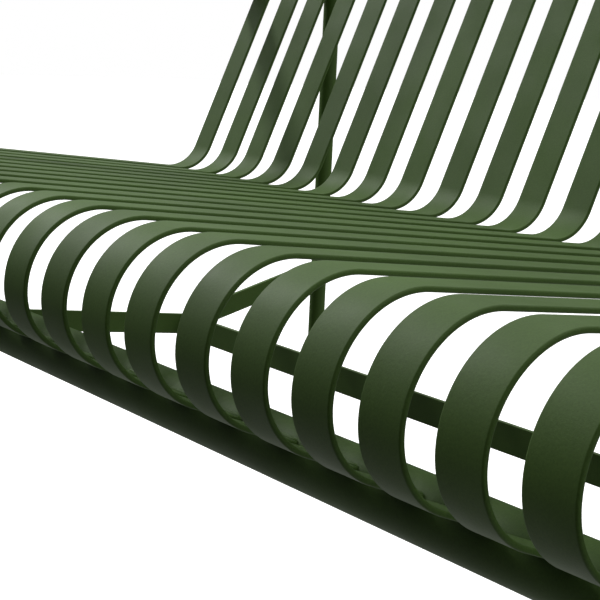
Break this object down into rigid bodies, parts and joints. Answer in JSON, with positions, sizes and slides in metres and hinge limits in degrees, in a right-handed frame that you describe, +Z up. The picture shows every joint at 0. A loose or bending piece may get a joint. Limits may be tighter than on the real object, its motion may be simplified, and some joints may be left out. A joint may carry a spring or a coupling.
{
  "type": "slatted steel bench with back",
  "caption": "Outdoor bench of bent steel flat-bar slats that form seat, rolled front edge and leaning back, welded to round pipes between two end frames with armrests.",
  "frame": {"origin": "centre of the bounding box's bottom face, on the floor", "axes": "+X along the bench towards the sitter's left, +Y from the seat's front edge to the back, +Z up"},
  "size_m": [1.27, 0.7319, 0.8346],
  "materials": {
    "powder_coat": "dark green semi-gloss powder coat"
  },
  "bodies": {
    "root": {"slat_01": "powder_coat", "slat_02": "powder_coat", "slat_03": "powder_coat", "slat_04": "powder_coat", "slat_05": "powder_coat", "slat_06": "powder_coat", "slat_07": "powder_coat", "slat_08": "powder_coat", "slat_09": "powder_coat", "slat_10": "powder_coat", "slat_11": "powder_coat", "slat_12": "powder_coat", "slat_13": "powder_coat", "slat_14": "powder_coat", "slat_15": "powder_coat", "slat_16": "powder_coat", "slat_17": "powder_coat", "slat_18": "powder_coat", "slat_19": "powder_coat", "slat_20": "powder_coat", "slat_21": "powder_coat", "slat_22": "powder_coat", "slat_23": "powder_coat", "slat_24": "powder_coat", "front_pipe": "powder_coat", "front_pipe_cap_left": "powder_coat", "front_pipe_cap_right": "powder_coat", "top_pipe": "powder_coat", "top_pipe_cap_left": "powder_coat", "top_pipe_cap_right": "powder_coat", "rear_stretcher": "powder_coat", "front_leg_left": "powder_coat", "rear_post_left": "powder_coat", "side_bar_left": "powder_coat", "armrest_left": "powder_coat", "foot_front_left": "powder_coat", "foot_rear_left": "powder_coat", "front_leg_right": "powder_coat", "rear_post_right": "powder_coat", "side_bar_right": "powder_coat", "armrest_right": "powder_coat", "foot_front_right": "powder_coat", "foot_rear_right": "powder_coat"}
  },
  "joints": []
}
